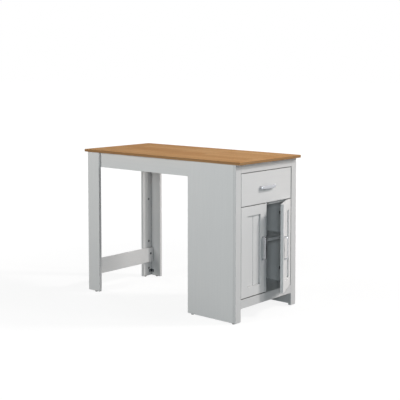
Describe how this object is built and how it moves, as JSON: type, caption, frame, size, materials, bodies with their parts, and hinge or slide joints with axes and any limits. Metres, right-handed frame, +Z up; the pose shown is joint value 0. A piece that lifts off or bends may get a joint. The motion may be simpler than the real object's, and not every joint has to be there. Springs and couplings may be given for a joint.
{
  "type": "kitchen table with storage cabinet",
  "caption": "High kitchen table with a wood-effect top on an open L-legged frame at one end and a white cabinet with a drawer and panelled doors at the other.",
  "frame": {"origin": "middle of the base of the whole piece's bounding box with the right door standing open at rest, on the floor", "axes": "+X along the top towards the cabinet's doors, +Y across the top towards the far side, +Z up"},
  "size_m": [1.3274, 0.58, 0.9],
  "materials": {
    "oak_top": "satin wood-effect laminate",
    "white_board": "satin melamine-faced board",
    "painted_front": "satin white paint on fibreboard",
    "satin_chrome": "satin",
    "nickel_steel": "nickel-plated",
    "zinc_alloy": "cast",
    "zinc_steel": "zinc-plated",
    "dark_zinc": "black zinc-plated",
    "runner_steel": "white powder coat",
    "nylon": "smooth",
    "glide_plastic": "smooth",
    "felt": "felt",
    "beech": "plain",
    "hardboard": "white-lacquered hardboard"
  },
  "bodies": {
    "table_carcass": {"apron_brackets": "zinc_steel", "apron_end": "white_board", "apron_side_left": "white_board", "apron_side_right": "white_board", "cabinet_back": "white_board", "cabinet_bottom": "white_board", "cabinet_divider": "white_board", "cabinet_side_left": "white_board", "cabinet_side_right": "white_board", "cam_bolts": "zinc_steel", "cam_locks": "zinc_alloy", "door_bumpers": "felt", "frame_dowels": "beech", "frame_rail_bottom": "white_board", "frame_rail_top": "white_board", "frame_stile_left": "white_board", "frame_stile_right": "white_board", "glides": "glide_plastic", "hinge_arms_left": "nickel_steel", "hinge_arms_right": "nickel_steel", "hinge_blocks_left": "white_board", "hinge_blocks_right": "white_board", "leg_brackets": "dark_zinc", "leg_end_board_left": "white_board", "leg_end_board_right": "white_board", "leg_side_board_left": "white_board", "leg_side_board_right": "white_board", "leg_stretcher": "white_board", "runner_batten_left": "white_board", "runner_batten_right": "white_board", "runner_cabinet_left": "runner_steel", "runner_cabinet_right": "runner_steel", "shelf": "white_board", "shelf_pins": "zinc_steel", "top_brackets": "zinc_steel", "top_cleat_back": "white_board", "top_cleat_front": "white_board", "worktop": "oak_top"},
    "left_door": {"door_left": "painted_front", "handle_left": "satin_chrome", "handle_screws_left": "zinc_steel", "hinge_cups_left": "nickel_steel"},
    "right_door": {"door_right": "painted_front", "handle_right": "satin_chrome", "handle_screws_right": "zinc_steel", "hinge_cups_right": "nickel_steel"},
    "drawer": {"drawer_back": "white_board", "drawer_bottom": "hardboard", "drawer_front": "painted_front", "drawer_side_left": "white_board", "drawer_side_right": "white_board", "handle_drawer": "satin_chrome", "handle_screws_drawer": "zinc_steel", "runner_drawer_left": "runner_steel", "runner_drawer_right": "runner_steel"},
    "front_rollers": {"cabinet_rollers": "nylon"},
    "rear_rollers": {"drawer_rollers": "nylon"}
  },
  "joints": [
    {"name": "left_door_hinge", "type": "hinge", "parent": "table_carcass", "child": "left_door", "pos_m": [0.5573, -0.236, 0.388], "axis": [0, 0, -1], "range_deg": [0, 110]},
    {"name": "right_door_hinge", "type": "hinge", "parent": "table_carcass", "child": "right_door", "pos_m": [0.5573, 0.236, 0.388], "axis": [0, 0, 1], "range_deg": [-25.5, 84.5]},
    {"name": "drawer_slide", "type": "slide", "parent": "table_carcass", "child": "drawer", "axis": [1, 0, 0], "range_m": [0, 0.23]},
    {"name": "front_rollers_spin", "type": "hinge", "parent": "table_carcass", "child": "front_rollers", "pos_m": [0.5213, 0, 0.672], "axis": [0, 1, 0], "continuous": true},
    {"name": "rear_rollers_spin", "type": "hinge", "parent": "drawer", "child": "rear_rollers", "pos_m": [0.2513, 0, 0.672], "axis": [0, 1, 0], "continuous": true}
  ],
  "couplings": [
    {"joint": "front_rollers_spin", "follows": "drawer_slide", "rad_per_m": 111.11},
    {"joint": "rear_rollers_spin", "follows": "drawer_slide", "rad_per_m": 111.11}
  ]
}
